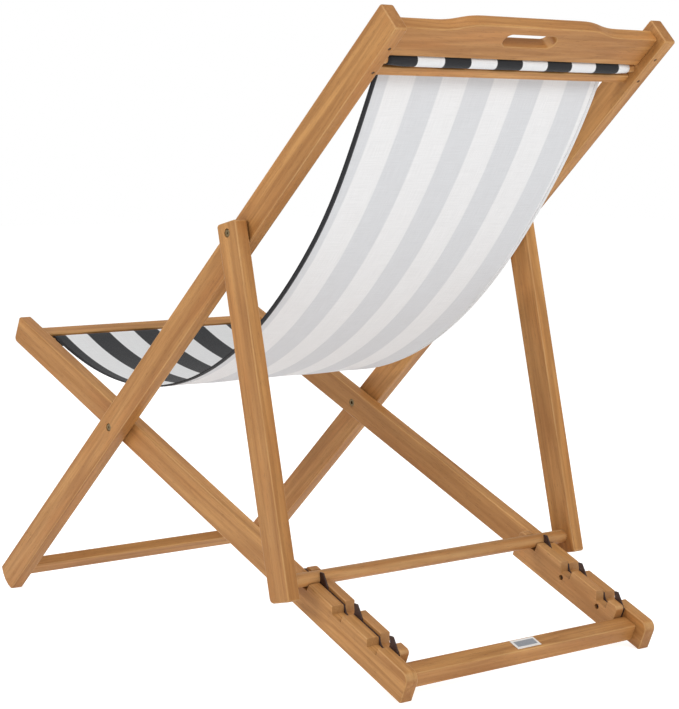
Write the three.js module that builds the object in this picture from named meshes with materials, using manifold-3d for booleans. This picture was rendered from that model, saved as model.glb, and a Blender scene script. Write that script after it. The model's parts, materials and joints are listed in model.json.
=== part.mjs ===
// Folding deck chair: two hardwood frames crossing at a scissor bolt, a prop frame whose
// dowel drops into hooked notches, and a striped fabric sling hung between two rods.
// Millimetres, +Z up. The sitter faces -Y, "left" is +X. The origin is on the floor, under
// the middle of the chair's bounding box.
import * as THREE from "three";
import { mergeVertices } from "three/addons/utils/BufferGeometryUtils.js";
import Module from "manifold-3d";

const wasm = await Module();
wasm.setup();

// ---- Driving dimensions: the frames ----
const frameWidth = 550; // over the outer faces of the back rails
const boardThickness = 22;
const hingeGap = 2.2; // between seat rail and back rail, filled by a washer
const propGap = 2.8; // between back rail and prop leg
const pivotHeight = 309; // scissor bolt above the floor
const backAngle = 42.67; // back rail, degrees above the horizontal
const seatAngle = 23.18; // seat rail, degrees below the horizontal towards the rear
const backRailWidth = 46.4;
const backTopReach = 905; // scissor bolt to the top end of the back rail
const backFootBulge = 6; // the foot end of a back rail is slightly domed
const seatRailWidth = 44.5;
const seatFrontReach = 341; // scissor bolt to the front end of the seat rail
const footFlat = 1.5; // how deep the floor cuts each foot's corner
const edgeRound = 2.5; // rounding along the edges of the boards
const cornerRound = 4;
const seatTailRound = 14;
const seatNoseRound = 8;

// ---- Driving dimensions: prop frame and rack ----
const propWidth = 44.5;
const propHeadReach = 16; // prop bolt to the leg's upper end
const dowelReach = 505; // prop bolt to the dowel's axis
const propToeReach = 27; // dowel's axis to the leg's lower end
const propToeRound = 8;
const dowelDiameter = 21;
const notchCount = 3;
const notchPitch = 82.2;
const notchFloor = 11.5; // notch floor above the seat rail's centre line
const notchFrontTuck = 2.2; // the notch's front wall starts this far under the dowel's front
const notchRearRoom = 2.2; // behind the dowel
const rackStackThickness = 20; // strip and hook plate together
const hookPlateThickness = 2.6;
const rackFrontMargin = 28; // rack's front end to the first notch's dowel position
const rackRearMargin = 33;
const rackBarGap = 2.43; // rack's rear end to the rear foot bar
const rackProud = 3.6; // the rack's top above the seat rail's top edge
const rackToothRound = 7;
const hookLean = 34; // slots lean forward of the rail's perpendicular, degrees
const hookHeight = 15; // hook tip above the dowel's axis
const hookBackWidth = 19; // hook's foot along the rail
const hookPlateSunk = 1; // hook plate's top below the seat rail's top edge
const hookPlateDepth = 18; // hook plate below the notch floor
const rackScrewDrop = 7; // rack screws below the notch floor
const rackScrewRise = 4; // rack screws behind their tooth's middle

// ---- Driving dimensions: cross bars, rods and sling ----
const headRailFrom = 842; // head rail's lower edge, along the back rail
const headRailShoulder = 52.5; // its depth next to the rails
const headRailCrown = 64; // its depth at the middle
const headCrownHalf = 97; // half width of the crown
const headShoulderHalf = 180; // where the ogee starts
const headRailThickness = 21;
const barOffset = 0.5; // cross bars of the back frame in front of its centre line
const handleLength = 102;
const handleWidth = 22;
const handleFrom = 26; // handle slot's lower edge above the head rail's
const guideRailWidth = 14.7;
const rollGap = 22.5; // between guide rail and head rail
const frontFootBarSize = { fromFoot: 29.45, length: 27, depth: 18, rise: 0 };
const seatFrontBar = { at: -302.5, length: 25, depth: 20, rise: 3 };
const rearFootBarSize = { fromTail: 32.37, length: 27, depth: 26, rise: -3.5 };
const tenonLength = 12;
const tenonShoulder = 4;
const rodDiameter = 12;
const rodSocket = 10; // how far a rod enters each rail
const topRollDrop = -5; // top rod behind the back frame's centre line
const frontRodGap = 11.5; // seat front bar's rear face to the front rod's axis
const frontRodRise = 4.5;
const slingThickness = 1.6;
const rollThickness = 3.4; // fabric wound on a rod
const topRollEdge = 15; // roll's end to the back rail
const slingSeatEdge = 14; // sling's side edge to the seat rail
const slingGuideEdge = 31; // sling's side edge to the back rail at the guide rail
const slingSeatAngle = 26.1; // sling's slope where it leaves the front rod, degrees
const slingBackAngle = 66.2; // sling's slope where it meets the guide rail, degrees
const slingSeatPull = 0.584; // share of the span over which the seat end stays straight
const slingBackPull = 0.183;

// ---- Driving dimensions: hardware ----
const boltDiameter = 5.4;
const boltHead = { diameter: 11.5, height: 3 };
const headRecess = { diameter: 13, depth: 4 };
const sleeveDiameter = 8;
const sleeveFlange = { diameter: 13, height: 1.6 };
const washerDiameter = 22;
const screwHead = { diameter: 7.4, height: 2.4 };
const screwRecess = { diameter: 8.6, depth: 7 };
const screwShank = 4;
const screwGrip = 13; // how far a rack screw bites into the seat rail
const pin = { diameter: 5, length: 9, recess: 0.8 }; // driven into the back rails' rear edges
const pinFromRailEdge = 8.5; // pin's axis to the back rail's inner face
const upperPinRise = 25; // upper pin above the head rail's lower edge
const lowerPinDrop = 20; // lower pin below the head rail's lower edge
const labelPlate = { length: 47, width: 20, thickness: 0.8, at: -6 };

// ---- Clearances ----
const fit = 0.3; // between pieces that touch
const boreFit = 0.3; // on the radius of a bore
const notchFit = 0.6; // dowel to hook slot, on the radius
const slideFit = 1; // sling to the guide rail it bears on

// ---- Worked out from the above ----
const rad = THREE.MathUtils.degToRad;
const backOuter = frameWidth / 2;
const backInner = backOuter - boardThickness;
const seatOuter = backInner - hingeGap;
const seatInner = seatOuter - boardThickness;
const propInner = backOuter + propGap;
const propOuter = propInner + boardThickness;
const stripInner = seatInner - rackStackThickness;
const plateOuter = seatInner - fit;
const plateInner = plateOuter - hookPlateThickness;
const stripOuter = plateInner - fit;

// A rail's square end reaches footFlat below the floor before the floor plane trims it.
function footReach(angle, width) {
  return (pivotHeight + footFlat - (width / 2) * Math.cos(rad(angle))) / Math.sin(rad(angle));
}
const backFootReach = footReach(backAngle, backRailWidth);
const seatTailReach = footReach(seatAngle, seatRailWidth);

// The foot bars keep their distance from the rails' ends, and the rack its distance from its bar.
const frontFootBar = { ...frontFootBarSize, at: frontFootBarSize.fromFoot - backFootReach };
const rearFootBar = { ...rearFootBarSize, at: seatTailReach - rearFootBarSize.fromTail };
const rackTo = rearFootBar.at - rearFootBar.length / 2 - rackBarGap;
const dowelAlong = rackTo - rackRearMargin - (notchCount - 1) * notchPitch;
const dowelPlaces = Array.from({ length: notchCount }, (_, i) => dowelAlong + i * notchPitch);
const rackFrom = dowelAlong - rackFrontMargin;

// The dowel rests on the first notch's floor, and the prop bolt sits on the back rail where the
// leg's length reaches it.
const dowelRadius = dowelDiameter / 2;
const dowelHeight = notchFloor + dowelRadius + fit;
const notchFront = dowelRadius - notchFrontTuck;
const notchRear = dowelRadius + notchRearRoom;
const betweenRails = rad(backAngle + seatAngle);
const dowelAlongBack = dowelAlong * Math.cos(betweenRails) + dowelHeight * Math.sin(betweenRails);
const dowelOffBack = dowelAlong * Math.sin(betweenRails) - dowelHeight * Math.cos(betweenRails);
const propPivotReach = dowelAlongBack + Math.sqrt(dowelReach ** 2 - dowelOffBack ** 2);
const propBoltAlong = propPivotReach * Math.cos(betweenRails);
const propBoltAbove = propPivotReach * Math.sin(betweenRails);
const propAngle = Math.atan2(propBoltAbove - dowelHeight, dowelAlong - propBoltAlong) + rad(seatAngle);

// ---- Solids ----
function toSolid(geometry) {
  const bare = new THREE.BufferGeometry();
  bare.setAttribute("position", geometry.getAttribute("position"));
  bare.setIndex(geometry.index);
  const merged = mergeVertices(bare, 1e-4);
  const mesh = new wasm.Mesh({
    numProp: 3,
    vertProperties: merged.attributes.position.array,
    triVerts: new Uint32Array(merged.index.array),
  });
  return new wasm.Manifold(mesh);
}

function toGeometry(solid) {
  const mesh = solid.getMesh();
  const geometry = new THREE.BufferGeometry();
  geometry.setAttribute("position", new THREE.BufferAttribute(mesh.vertProperties, 3));
  geometry.setIndex(new THREE.BufferAttribute(mesh.triVerts, 1));
  geometry.computeVertexNormals();
  return geometry;
}

function cut(geometry, ...tools) {
  return toGeometry(tools.reduce((solid, tool) => solid.subtract(toSolid(tool)), toSolid(geometry)));
}

function join(geometry, ...others) {
  return toGeometry(others.reduce((solid, other) => solid.add(toSolid(other)), toSolid(geometry)));
}

// Extrudes an outline drawn along a rail (x) and across it (y) from one side to the other.
const acrossBasis = new THREE.Matrix4().makeBasis(
  new THREE.Vector3(0, 1, 0),
  new THREE.Vector3(0, 0, 1),
  new THREE.Vector3(1, 0, 0),
);
function slab(outline, from, to, round = 0) {
  const geometry = new THREE.ExtrudeGeometry(outline, {
    depth: to - from - 2 * round,
    bevelEnabled: round > 0,
    bevelThickness: round,
    bevelSize: round,
    bevelOffset: -round,
    bevelSegments: 2,
    curveSegments: 4,
  });
  geometry.translate(0, 0, from + round);
  return geometry.applyMatrix4(acrossBasis);
}

// A board's outline with its own radius at each corner: near/far end, lower/upper edge.
// A radius of zero leaves the corner square; a bulge domes the near end.
function boardOutline(from, to, low, high, corners, bulge = 0) {
  const [nearLow, farLow, farHigh, nearHigh] = corners;
  const shape = new THREE.Shape();
  const corner = (x, y, radius, start) => {
    if (radius > 0) shape.absarc(x, y, radius, start, start + Math.PI / 2);
    else shape.lineTo(x, y);
  };
  shape.moveTo(from + nearLow, low);
  corner(to - farLow, low + farLow, farLow, -Math.PI / 2);
  corner(to - farHigh, high - farHigh, farHigh, 0);
  corner(from + nearHigh, high - nearHigh, nearHigh, Math.PI / 2);
  if (bulge > 0) shape.quadraticCurveTo(from - 2 * bulge, (low + high) / 2, from, low + nearLow);
  if (nearLow > 0) shape.absarc(from + nearLow, low + nearLow, nearLow, Math.PI, Math.PI * 1.5);
  return shape;
}

function rectangle(from, to, low, high) {
  return new THREE.Shape([
    new THREE.Vector2(from, low),
    new THREE.Vector2(to, low),
    new THREE.Vector2(to, high),
    new THREE.Vector2(from, high),
  ]);
}

// A round bar along X whose axis passes through (along, above).
function roundBar(radius, from, to, along, above, sides = 16) {
  const geometry = new THREE.CylinderGeometry(radius, radius, to - from, sides);
  geometry.rotateZ(-Math.PI / 2);
  return geometry.translate((from + to) / 2, along, above);
}

// A turned piece along X: profile points are [radius, x], closed on the axis or on themselves.
function turned(profile, along, above, sides = 16) {
  const points = profile.map(([radius, x]) => new THREE.Vector2(radius, x));
  const geometry = new THREE.LatheGeometry(points, sides);
  geometry.rotateZ(-Math.PI / 2);
  return geometry.translate(0, along, above);
}

// Solids are made for the +X side and mirrored to the other one.
function mirrored(geometry) {
  const copy = geometry.index ? geometry.toNonIndexed() : geometry.clone();
  const position = copy.getAttribute("position");
  for (let i = 0; i < position.count; i += 3) {
    const corner = [0, 1, 2].map((k) => new THREE.Vector3().fromBufferAttribute(position, i + k));
    [0, 2, 1].forEach((k, slot) => position.setXYZ(i + slot, -corner[k].x, corner[k].y, corner[k].z));
  }
  copy.computeVertexNormals();
  return copy;
}

// ---- Materials ----
const looks = {
  wood: { color: 0xb9874f, roughness: 0.55, metalness: 0 },
  fabric: { color: 0xe4e5e8, roughness: 0.9, metalness: 0 },
  bronze: { color: 0x2c211c, roughness: 0.45, metalness: 0.8 },
  steel: { color: 0xb9b4aa, roughness: 0.35, metalness: 0.9 },
  label: { color: 0xc9ced4, roughness: 0.4, metalness: 0.6 },
};

function addPiece(group, name, look, geometry) {
  const mesh = new THREE.Mesh(geometry, new THREE.MeshStandardMaterial(looks[look]));
  mesh.name = name;
  group.add(mesh);
}

function addPair(group, name, look, geometry) {
  addPiece(group, `${name}_left`, look, geometry);
  addPiece(group, `${name}_right`, look, mirrored(geometry));
}

// ---- Groups: each frame's +Y runs along its rails, its +Z across them ----
const chair = new THREE.Group();
const seatFrame = new THREE.Group();
seatFrame.position.z = pivotHeight;
seatFrame.rotation.x = -rad(seatAngle);
const backFrame = new THREE.Group();
backFrame.position.z = pivotHeight;
backFrame.rotation.x = rad(backAngle);
const propFrame = new THREE.Group();
propFrame.position.y = propPivotReach;
propFrame.rotation.x = -propAngle - rad(backAngle);
chair.add(seatFrame, backFrame);
backFrame.add(propFrame);

// The floor as a cutting block in the coordinates of a tilted frame.
function floorBlock(group) {
  const block = new THREE.BoxGeometry(2 * frameWidth, 4 * backTopReach, pivotHeight);
  block.translate(0, 0, -pivotHeight / 2);
  group.updateMatrix();
  return block.applyMatrix4(group.matrix.clone().invert());
}

// ---- Cross bars: stub tenons in the rails ----
function crossBar({ at, length, depth, rise }, inner, round = edgeRound) {
  const half = inner - fit;
  const body = boardOutline(
    at - length / 2, at + length / 2, rise - depth / 2, rise + depth / 2,
    [round, round, round, round],
  );
  const tenon = tenonBlock({ at, length, depth, rise }, inner, 0);
  return join(slab(body, -half, half), tenon, mirrored(tenon));
}

function tenonBlock({ at, length, depth, rise }, inner, gap) {
  const along = length / 2 - tenonShoulder + gap;
  const above = depth / 2 - tenonShoulder + gap;
  const outline = rectangle(at - along, at + along, rise - above, rise + above);
  return slab(outline, inner - 2 * tenonShoulder, inner + tenonLength - fit + gap);
}

const guideRail = {
  at: headRailFrom - rollGap - guideRailWidth / 2,
  length: guideRailWidth,
  depth: headRailThickness,
  rise: barOffset,
};
const headRail = {
  at: headRailFrom + headRailShoulder / 2,
  length: headRailShoulder,
  depth: headRailThickness,
  rise: barOffset,
};
const topRodAt = headRailFrom - rollGap / 2;
const frontRodAt = seatFrontBar.at + seatFrontBar.length / 2 + frontRodGap;

// ---- Bolts ----
// A bolt's head sits in the outer board, its sleeve nut comes through from the inner one.
function boltBores(along, headFace, nutFace) {
  const bore = roundBar(sleeveDiameter / 2 + boreFit, nutFace - fit, headFace + fit, along, 0);
  const recess = roundBar(headRecess.diameter / 2, headFace - headRecess.depth, headFace + fit, along, 0);
  const seat = roundBar(
    sleeveFlange.diameter / 2 + boreFit, nutFace - fit, nutFace + sleeveFlange.height + fit, along, 0,
  );
  return { bore, recess, seat };
}

function boltPieces(along, headFace, nutFace) {
  const headTop = headFace - headRecess.depth + fit + boltHead.height;
  const headUnder = headTop - boltHead.height;
  const sleeveEnd = headUnder - fit;
  const shaft = boltDiameter / 2;
  const socket = boltDiameter / 3;
  const bolt = turned([
    [0, nutFace + 3], [shaft, nutFace + 3], [shaft, headUnder], [boltHead.diameter / 2, headUnder],
    [boltHead.diameter / 2, headTop - 0.8], [boltHead.diameter / 2 - 0.8, headTop],
    [socket, headTop], [socket, headTop - 1.8], [0, headTop - 1.8],
  ], along, 0);
  const bore = shaft + boreFit;
  const flange = sleeveFlange.diameter / 2;
  const nutUnder = nutFace + fit;
  const nut = turned([
    [bore, nutUnder], [flange - 0.5, nutUnder], [flange, nutUnder + 0.5],
    [flange, nutFace + sleeveFlange.height], [sleeveDiameter / 2, nutFace + sleeveFlange.height],
    [sleeveDiameter / 2, sleeveEnd], [bore, sleeveEnd], [bore, nutUnder],
  ], along, 0);
  return { bolt, nut };
}

function washer(along, inner, outer) {
  const hole = sleeveDiameter / 2 + boreFit;
  const rim = washerDiameter / 2;
  return turned([
    [hole, inner + fit], [rim, inner + fit], [rim, outer - fit], [hole, outer - fit], [hole, inner + fit],
  ], along, 0, 20);
}

// ---- Rack: notches in rail and strip, hooks on the plate between them ----
const rackTop = seatRailWidth / 2 + rackProud;
const plateTop = seatRailWidth / 2 - hookPlateSunk;
const lean = rad(hookLean);
const rackScrews = dowelPlaces.slice(0, -1).map((at) => at + notchPitch - rackScrewRise);

// The notch's front wall is upright when the chair stands.
function notchBlock(at) {
  const top = rackTop + 5;
  const forward = (top - notchFloor) * Math.tan(rad(seatAngle));
  const outline = new THREE.Shape([
    new THREE.Vector2(at - notchFront, notchFloor),
    new THREE.Vector2(at + notchRear, notchFloor),
    new THREE.Vector2(at + notchRear, top),
    new THREE.Vector2(at - notchFront - forward, top),
  ]);
  return slab(outline, stripInner - fit, seatOuter + fit);
}

// A slot that hugs the dowel and leans forward, so the dowel lifts out up and forward.
function slotOutline(at) {
  const radius = dowelRadius + notchFit;
  const up = new THREE.Vector2(-Math.sin(lean), Math.cos(lean));
  const side = new THREE.Vector2(Math.cos(lean), Math.sin(lean));
  const centre = new THREE.Vector2(at, dowelHeight);
  const mouth = 4 * hookHeight;
  const shape = new THREE.Shape();
  const rear = centre.clone().addScaledVector(side, radius);
  const rearTop = rear.clone().addScaledVector(up, mouth);
  const front = centre.clone().addScaledVector(side, -radius);
  const frontTop = front.clone().addScaledVector(up, mouth);
  shape.moveTo(rearTop.x, rearTop.y);
  shape.lineTo(frontTop.x, frontTop.y);
  shape.lineTo(front.x, front.y);
  shape.absarc(centre.x, centre.y, radius, Math.PI + lean, 2 * Math.PI + lean);
  return shape;
}

function hookOutline(at) {
  const root = seatRailWidth / 2;
  const tip = dowelHeight + hookHeight;
  const heel = at + dowelRadius + hookBackWidth;
  const wallAtTip = at + (dowelRadius + notchFit - (tip - dowelHeight) * Math.sin(lean)) / Math.cos(lean);
  return new THREE.Shape([
    new THREE.Vector2(at, plateTop - 2),
    new THREE.Vector2(heel, plateTop - 2),
    new THREE.Vector2(heel - 1, root + 1),
    new THREE.Vector2(heel - 9, root + 8),
    new THREE.Vector2(wallAtTip + 8, tip),
    new THREE.Vector2(wallAtTip - 6, tip - 5),
    new THREE.Vector2(at, root),
  ]);
}

function screwBlock(radius, from, to, at) {
  return roundBar(radius, from, to, at, notchFloor - rackScrewDrop, 16);
}

const plateBase = slab(
  rectangle(rackFrom + fit, rackTo - fit, notchFloor - hookPlateDepth, plateTop), plateInner, plateOuter,
);
const hookPlate = cut(
  join(plateBase, ...dowelPlaces.map((at) => slab(hookOutline(at), plateInner, plateOuter))),
  ...dowelPlaces.map((at) => slab(slotOutline(at), plateInner - fit, plateOuter + fit)),
  ...rackScrews.map((at) => screwBlock(screwShank / 2 + boreFit, plateInner - fit, plateOuter + fit, at)),
);

const stripLow = -seatRailWidth / 2 + edgeRound;
const rackStrip = cut(
  slab(
    boardOutline(rackFrom, rackTo, stripLow, rackTop, [2, 2, rackToothRound, rackToothRound]),
    stripInner, stripOuter, 1.5,
  ),
  ...dowelPlaces.map(notchBlock),
  ...rackScrews.map((at) => screwBlock(screwShank / 2 + boreFit, stripInner, stripOuter + fit, at)),
  ...rackScrews.map((at) => screwBlock(
    screwRecess.diameter / 2, stripInner - fit, stripInner + screwRecess.depth, at,
  )),
);

function rackScrew(at) {
  const under = stripInner + screwRecess.depth - fit;
  const top = under - screwHead.height;
  const tip = seatInner + screwGrip;
  const shank = screwShank / 2;
  return turned([
    [0, top + 1], [1.3, top + 1], [1.3, top], [screwHead.diameter / 2 - 0.6, top],
    [screwHead.diameter / 2, top + 0.6], [screwHead.diameter / 2, under], [shank, under],
    [shank, tip - 4], [0, tip],
  ], at, notchFloor - rackScrewDrop, 16);
}

// ---- Seat frame ----
const scissorBores = boltBores(0, backOuter, seatInner);
const rearScrewSocket = (at) => screwBlock(
  screwShank / 2 + boreFit, seatInner - fit, seatInner + screwGrip + fit, at,
);
const seatRail = cut(
  slab(
    boardOutline(
      -seatFrontReach, seatTailReach, -seatRailWidth / 2, seatRailWidth / 2,
      [seatNoseRound, 0, seatTailRound, cornerRound],
    ),
    seatInner, seatOuter, edgeRound,
  ),
  floorBlock(seatFrame),
  scissorBores.bore,
  scissorBores.seat,
  ...dowelPlaces.map(notchBlock),
  ...rackScrews.map(rearScrewSocket),
  tenonBlock(seatFrontBar, seatInner, fit),
  tenonBlock(rearFootBar, seatInner, fit),
  roundBar(rodDiameter / 2 + fit, seatInner - fit, seatInner + rodSocket + fit, frontRodAt, frontRodRise),
);
addPair(seatFrame, "seat_rail", "wood", seatRail);
addPiece(seatFrame, "seat_front_bar", "wood", crossBar(seatFrontBar, seatInner));
addPiece(seatFrame, "rear_foot_bar", "wood", crossBar(rearFootBar, seatInner));
addPiece(seatFrame, "sling_front_rod", "wood", roundBar(
  rodDiameter / 2, -seatInner - rodSocket, seatInner + rodSocket, frontRodAt, frontRodRise,
));
addPair(seatFrame, "rack_strip", "wood", rackStrip);
addPair(seatFrame, "rack_hook_plate", "bronze", hookPlate);
rackScrews.forEach((at, i) => {
  addPair(seatFrame, `rack_screw_${i === 0 ? "front" : "rear"}`, "bronze", rackScrew(at));
});

const label = slab(
  rectangle(
    rearFootBar.at - labelPlate.width / 2, rearFootBar.at + labelPlate.width / 2,
    rearFootBar.rise + rearFootBar.depth / 2 + fit,
    rearFootBar.rise + rearFootBar.depth / 2 + fit + labelPlate.thickness,
  ),
  labelPlate.at - labelPlate.length / 2,
  labelPlate.at + labelPlate.length / 2,
);
addPiece(seatFrame, "label_plate", "label", label);

// ---- Back frame ----
const propBores = boltBores(0, propOuter, backInner);
const pinPlaces = { upper: headRailFrom + upperPinRise, lower: headRailFrom - lowerPinDrop };
// A short round pin standing across the rail, its head just below the rear edge.
function pinBar(at, radius, sunk, length) {
  const bar = new THREE.CylinderGeometry(radius, radius, length, 12);
  bar.rotateX(Math.PI / 2);
  return bar.translate(backInner + pinFromRailEdge, at, -backRailWidth / 2 + sunk + length / 2);
}
const backRail = cut(
  slab(
    boardOutline(
      -backFootReach, backTopReach, -backRailWidth / 2, backRailWidth / 2,
      [0, cornerRound, cornerRound, 0], backFootBulge,
    ),
    backInner, backOuter, edgeRound,
  ),
  floorBlock(backFrame),
  scissorBores.bore,
  scissorBores.recess,
  propBores.bore.clone().translate(0, propPivotReach, 0),
  propBores.seat.clone().translate(0, propPivotReach, 0),
  tenonBlock(headRail, backInner, fit),
  tenonBlock(guideRail, backInner, fit),
  tenonBlock(frontFootBar, backInner, fit),
  roundBar(rodDiameter / 2 + fit, backInner - fit, backInner + rodSocket + fit, topRodAt, topRollDrop),
  ...Object.values(pinPlaces).map((at) => pinBar(at, pin.diameter / 2 + fit, -fit, pin.length + pin.recess + 2 * fit)),
);
addPair(backFrame, "back_rail", "wood", backRail);
Object.entries(pinPlaces).forEach(([place, at]) => {
  addPair(backFrame, `rail_pin_${place}`, "bronze", pinBar(at, pin.diameter / 2, pin.recess, pin.length));
});
addPiece(backFrame, "sling_guide_rail", "wood", crossBar(guideRail, backInner));
addPiece(backFrame, "front_foot_bar", "wood", crossBar(frontFootBar, backInner));
addPiece(backFrame, "sling_top_rod", "wood", roundBar(
  rodDiameter / 2, -backInner - rodSocket, backInner + rodSocket, topRodAt, topRollDrop,
));

// The head rail's face: a straight lower edge, shoulders beside the rails and a low crown.
function headRailGeometry() {
  const half = backInner - fit;
  const low = headRailFrom;
  const shoulder = low + headRailShoulder;
  const crown = low + headRailCrown;
  const blend = (headShoulderHalf + headCrownHalf) / 2;
  const face = new THREE.Shape();
  face.moveTo(-half, low);
  face.lineTo(half, low);
  face.lineTo(half, shoulder);
  face.lineTo(headShoulderHalf, shoulder);
  face.bezierCurveTo(blend, shoulder, blend, crown, headCrownHalf, crown);
  face.lineTo(-headCrownHalf, crown);
  face.bezierCurveTo(-blend, crown, -blend, shoulder, -headShoulderHalf, shoulder);
  face.lineTo(-half, shoulder);
  const slot = new THREE.Path();
  const slotRadius = handleWidth / 2;
  const slotHalf = handleLength / 2 - slotRadius;
  const slotMiddle = low + handleFrom + slotRadius;
  slot.absarc(slotHalf, slotMiddle, slotRadius, -Math.PI / 2, Math.PI / 2);
  slot.absarc(-slotHalf, slotMiddle, slotRadius, Math.PI / 2, Math.PI * 1.5);
  face.holes.push(slot);
  const board = new THREE.ExtrudeGeometry(face, {
    depth: headRailThickness - 2 * edgeRound,
    bevelThickness: edgeRound,
    bevelSize: edgeRound,
    bevelOffset: -edgeRound,
    bevelSegments: 2,
    curveSegments: 10,
  });
  board.translate(0, 0, barOffset - headRailThickness / 2 + edgeRound);
  const tenon = tenonBlock(headRail, backInner, 0);
  return join(board, tenon, mirrored(tenon));
}
addPiece(backFrame, "head_rail", "wood", headRailGeometry());

// ---- Prop frame ----
const propLeg = cut(
  slab(
    boardOutline(
      -propHeadReach, dowelReach + propToeReach, -propWidth / 2, propWidth / 2,
      [5, propToeRound, cornerRound, 5],
    ),
    propInner, propOuter, edgeRound,
  ),
  propBores.bore,
  propBores.recess,
  roundBar(dowelRadius + fit, propInner - fit, propInner + tenonLength + fit, dowelReach, 0),
);
addPair(propFrame, "prop_leg", "wood", propLeg);
addPiece(propFrame, "prop_dowel", "wood", roundBar(
  dowelRadius, -propInner - tenonLength, propInner + tenonLength, dowelReach, 0, 24,
));

// ---- Pivot hardware ----
const scissorHardware = boltPieces(0, backOuter, seatInner);
addPair(backFrame, "scissor_bolt", "steel", scissorHardware.bolt);
addPair(seatFrame, "scissor_nut", "steel", scissorHardware.nut);
addPair(seatFrame, "scissor_washer", "steel", washer(0, seatOuter, backInner));
const propHardware = boltPieces(0, propOuter, backInner);
addPair(propFrame, "prop_bolt", "steel", propHardware.bolt);
addPair(backFrame, "prop_nut", "steel", propHardware.nut.translate(0, propPivotReach, 0));
addPair(backFrame, "prop_washer", "steel", washer(propPivotReach, backOuter, propInner));

// ---- Sling: wound on both rods, over the guide rail's front face and down to the seat ----
const toChair = (group, along, above) => new THREE.Vector3(0, along, above).applyMatrix4(group.matrix);
backFrame.updateMatrix();
seatFrame.updateMatrix();
const rollRadius = rodDiameter / 2 + rollThickness;
const frontRod = toChair(seatFrame, frontRodAt, frontRodRise);
const topRod = toChair(backFrame, topRodAt, topRollDrop);
const guideFace = barOffset + headRailThickness / 2 + slideFit + slingThickness / 2;
const guideLow = toChair(backFrame, guideRail.at - guideRail.length / 2, guideFace);
const guideHigh = toChair(backFrame, guideRail.at + guideRail.length / 2, guideFace);

function direction(degrees) {
  return new THREE.Vector3(0, Math.cos(rad(degrees)), Math.sin(rad(degrees)));
}

// Centre line of the hanging fabric, from the front roll's top to the guide rail's lower edge.
function slingCurve() {
  const leave = direction(-slingSeatAngle);
  const arrive = direction(slingBackAngle);
  const start = frontRod.clone().addScaledVector(direction(90 - slingSeatAngle), rollRadius - slingThickness / 2);
  const span = start.distanceTo(guideLow);
  return new THREE.CubicBezierCurve3(
    start,
    start.clone().addScaledVector(leave, span * slingSeatPull),
    guideLow.clone().addScaledVector(arrive, -span * slingBackPull),
    guideLow,
  );
}

// A strip of fabric along a centre line in the YZ plane, its half width given along the way.
function ribbon(points, halfWidthAt) {
  const offset = (side) => points.map((point, i) => {
    const before = points[Math.max(i - 1, 0)];
    const after = points[Math.min(i + 1, points.length - 1)];
    const along = after.clone().sub(before).normalize();
    return new THREE.Vector2(
      point.y - side * along.z * slingThickness / 2,
      point.z + side * along.y * slingThickness / 2,
    );
  });
  const outline = new THREE.Shape([...offset(-1), ...offset(1).reverse()]);
  const geometry = slab(outline, -1, 1);
  const position = geometry.getAttribute("position");
  const low = points[0].z;
  const high = points[points.length - 1].z;
  for (let i = 0; i < position.count; i += 1) {
    const share = THREE.MathUtils.clamp((position.getZ(i) - low) / (high - low), 0, 1);
    position.setX(i, position.getX(i) * halfWidthAt(share));
  }
  return geometry;
}

const slingSeatHalf = seatInner - slingSeatEdge;
const slingGuideHalf = backInner - slingGuideEdge;
const topRollHalf = backInner - topRollEdge;
const topTangent = topRod.clone().addScaledVector(direction(backAngle + 90), rollRadius - slingThickness / 2);
const hanging = slingCurve().getSpacedPoints(28);
const overGuide = [guideLow, guideHigh, topTangent];
const ease = (share) => slingSeatHalf + (slingGuideHalf - slingSeatHalf) * share ** 3;

function roll(rod, half) {
  const inner = rodDiameter / 2 + fit;
  return turned([
    [inner, -half], [rollRadius, -half], [rollRadius, half], [inner, half], [inner, -half],
  ], rod.y, rod.z);
}
addPiece(chair, "sling", "fabric", join(
  ribbon(hanging, ease),
  ribbon(overGuide, (share) => slingGuideHalf + (topRollHalf - slingGuideHalf) * share ** 3),
  roll(frontRod, slingSeatHalf),
  roll(topRod, topRollHalf),
));

// ---- The origin goes under the middle of the bounding box ----
const bounds = new THREE.Box3().setFromObject(chair, true);
chair.position.y = -(bounds.min.y + bounds.max.y) / 2;

const model = new THREE.Group();
model.add(chair);
export default model;
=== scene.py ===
# Folding deck chair in oiled hardwood with a striped fabric sling.
# Metres, +Z up, the sitter faces -Y, "left" is +X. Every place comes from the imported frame.
import json
import math

import bmesh
import bpy
import numpy as np
from mathutils import Matrix, Vector


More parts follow.
